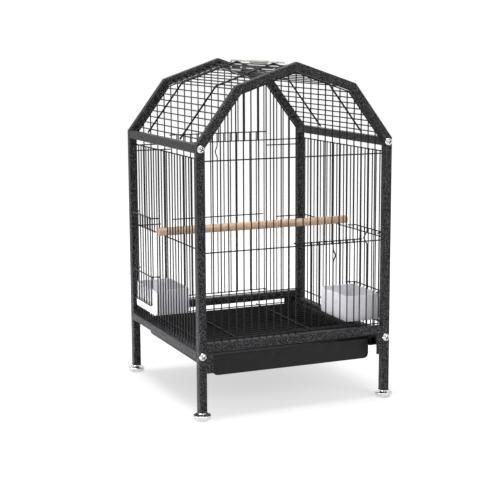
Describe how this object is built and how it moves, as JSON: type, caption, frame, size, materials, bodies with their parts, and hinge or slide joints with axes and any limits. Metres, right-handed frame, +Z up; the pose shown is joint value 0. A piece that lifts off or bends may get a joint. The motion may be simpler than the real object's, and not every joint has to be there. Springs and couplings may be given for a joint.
{
  "type": "bird cage on stand",
  "caption": "Square bird cage on four short legs with a gambrel wire roof, sliding wire doors, feeders, a wooden perch, a grate, a pull-out tray and a carrying handle.",
  "frame": {"origin": "on the floor under the middle of the cage, between the four feet", "axes": "+Z up, +X to the right and +Y to the back as seen from the front, which has the small door"},
  "size_m": [0.345, 0.345, 0.5442],
  "materials": {
    "hammertone": "charcoal hammertone powder coat",
    "black_wire": "black satin powder coat",
    "chrome": "bright chrome plate",
    "feeder_plastic": "smooth, faintly violet white",
    "perch_wood": "sanded, unvarnished, fine lengthwise grain",
    "tray_plastic": "black, lightly textured",
    "grip_plastic": "smooth cream",
    "plug_plastic": "black moulded"
  },
  "bodies": {
    "frame": {"post_front_left": "hammertone", "post_front_right": "hammertone", "post_back_left": "hammertone", "post_back_right": "hammertone", "front_arch": "hammertone", "back_arch": "hammertone", "eave_rail_left": "hammertone", "eave_rail_right": "hammertone", "front_rail": "hammertone", "back_rail": "hammertone", "side_rail_left": "hammertone", "side_rail_right": "hammertone", "corner_tabs": "hammertone", "rear_stops": "hammertone", "leg_plugs": "plug_plastic", "rail_inserts": "plug_plastic", "front_screws": "chrome", "back_screws": "chrome", "tray_runner_left": "hammertone", "tray_runner_right": "hammertone", "front_uprights": "black_wire", "front_bars": "black_wire", "back_uprights": "black_wire", "back_bars": "black_wire", "left_uprights": "black_wire", "left_bars": "black_wire", "right_uprights": "black_wire", "right_bars": "black_wire", "arch_wires": "black_wire", "ridge_wire": "black_wire", "roof_wires_left": "black_wire", "roof_wires_right": "black_wire", "roof_ribs": "black_wire", "feeder_cup_left": "feeder_plastic", "feeder_cup_right": "feeder_plastic"},
    "tray_drawer": {"tray": "tray_plastic"},
    "grate_drawer": {"grate": "black_wire"},
    "front_gate": {"front_door": "black_wire"},
    "back_gate": {"back_door": "black_wire"},
    "left_feeder_gate": {"feeder_door_left": "black_wire"},
    "right_feeder_gate": {"feeder_door_right": "black_wire"},
    "perch_bar": {"perch": "perch_wood"},
    "carry_handle": {"handle_bail": "chrome", "handle_grip": "grip_plastic"},
    "glide_front_left": {"foot_front_left": "chrome"},
    "glide_front_right": {"foot_front_right": "chrome"},
    "glide_back_left": {"foot_back_left": "chrome"},
    "glide_back_right": {"foot_back_right": "chrome"}
  },
  "joints": [
    {"name": "tray_slide", "type": "slide", "parent": "frame", "child": "tray_drawer", "axis": [0, -1, 0], "range_m": [0, 0.28]},
    {"name": "grate_slide", "type": "slide", "parent": "frame", "child": "grate_drawer", "axis": [0, -1, 0], "range_m": [0, 0.28]},
    {"name": "front_door_lift", "type": "slide", "parent": "frame", "child": "front_gate", "axis": [0, 0, 1], "range_m": [0, 0.125]},
    {"name": "back_door_lift", "type": "slide", "parent": "frame", "child": "back_gate", "axis": [0, 0, 1], "range_m": [0, 0.07]},
    {"name": "left_feeder_door_lift", "type": "slide", "parent": "frame", "child": "left_feeder_gate", "axis": [0, 0, 1], "range_m": [-0.02, 0.065]},
    {"name": "right_feeder_door_lift", "type": "slide", "parent": "frame", "child": "right_feeder_gate", "axis": [0, 0, 1], "range_m": [0, 0.085]},
    {"name": "perch_lift", "type": "slide", "parent": "frame", "child": "perch_bar", "axis": [0, 0, 1], "range_m": [0, 0.115]},
    {"name": "handle_lift", "type": "slide", "parent": "frame", "child": "carry_handle", "axis": [0, 0, 1], "range_m": [0, 0.008]},
    {"name": "glide_front_left_turn", "type": "hinge", "parent": "frame", "child": "glide_front_left", "pos_m": [-0.1585, -0.1585, 0.018], "axis": [0, 0, 1], "continuous": true},
    {"name": "glide_front_right_turn", "type": "hinge", "parent": "frame", "child": "glide_front_right", "pos_m": [0.1585, -0.1585, 0.018], "axis": [0, 0, 1], "continuous": true},
    {"name": "glide_back_left_turn", "type": "hinge", "parent": "frame", "child": "glide_back_left", "pos_m": [-0.1585, 0.1585, 0.018], "axis": [0, 0, 1], "continuous": true},
    {"name": "glide_back_right_turn", "type": "hinge", "parent": "frame", "child": "glide_back_right", "pos_m": [0.1585, 0.1585, 0.018], "axis": [0, 0, 1], "continuous": true}
  ]
}
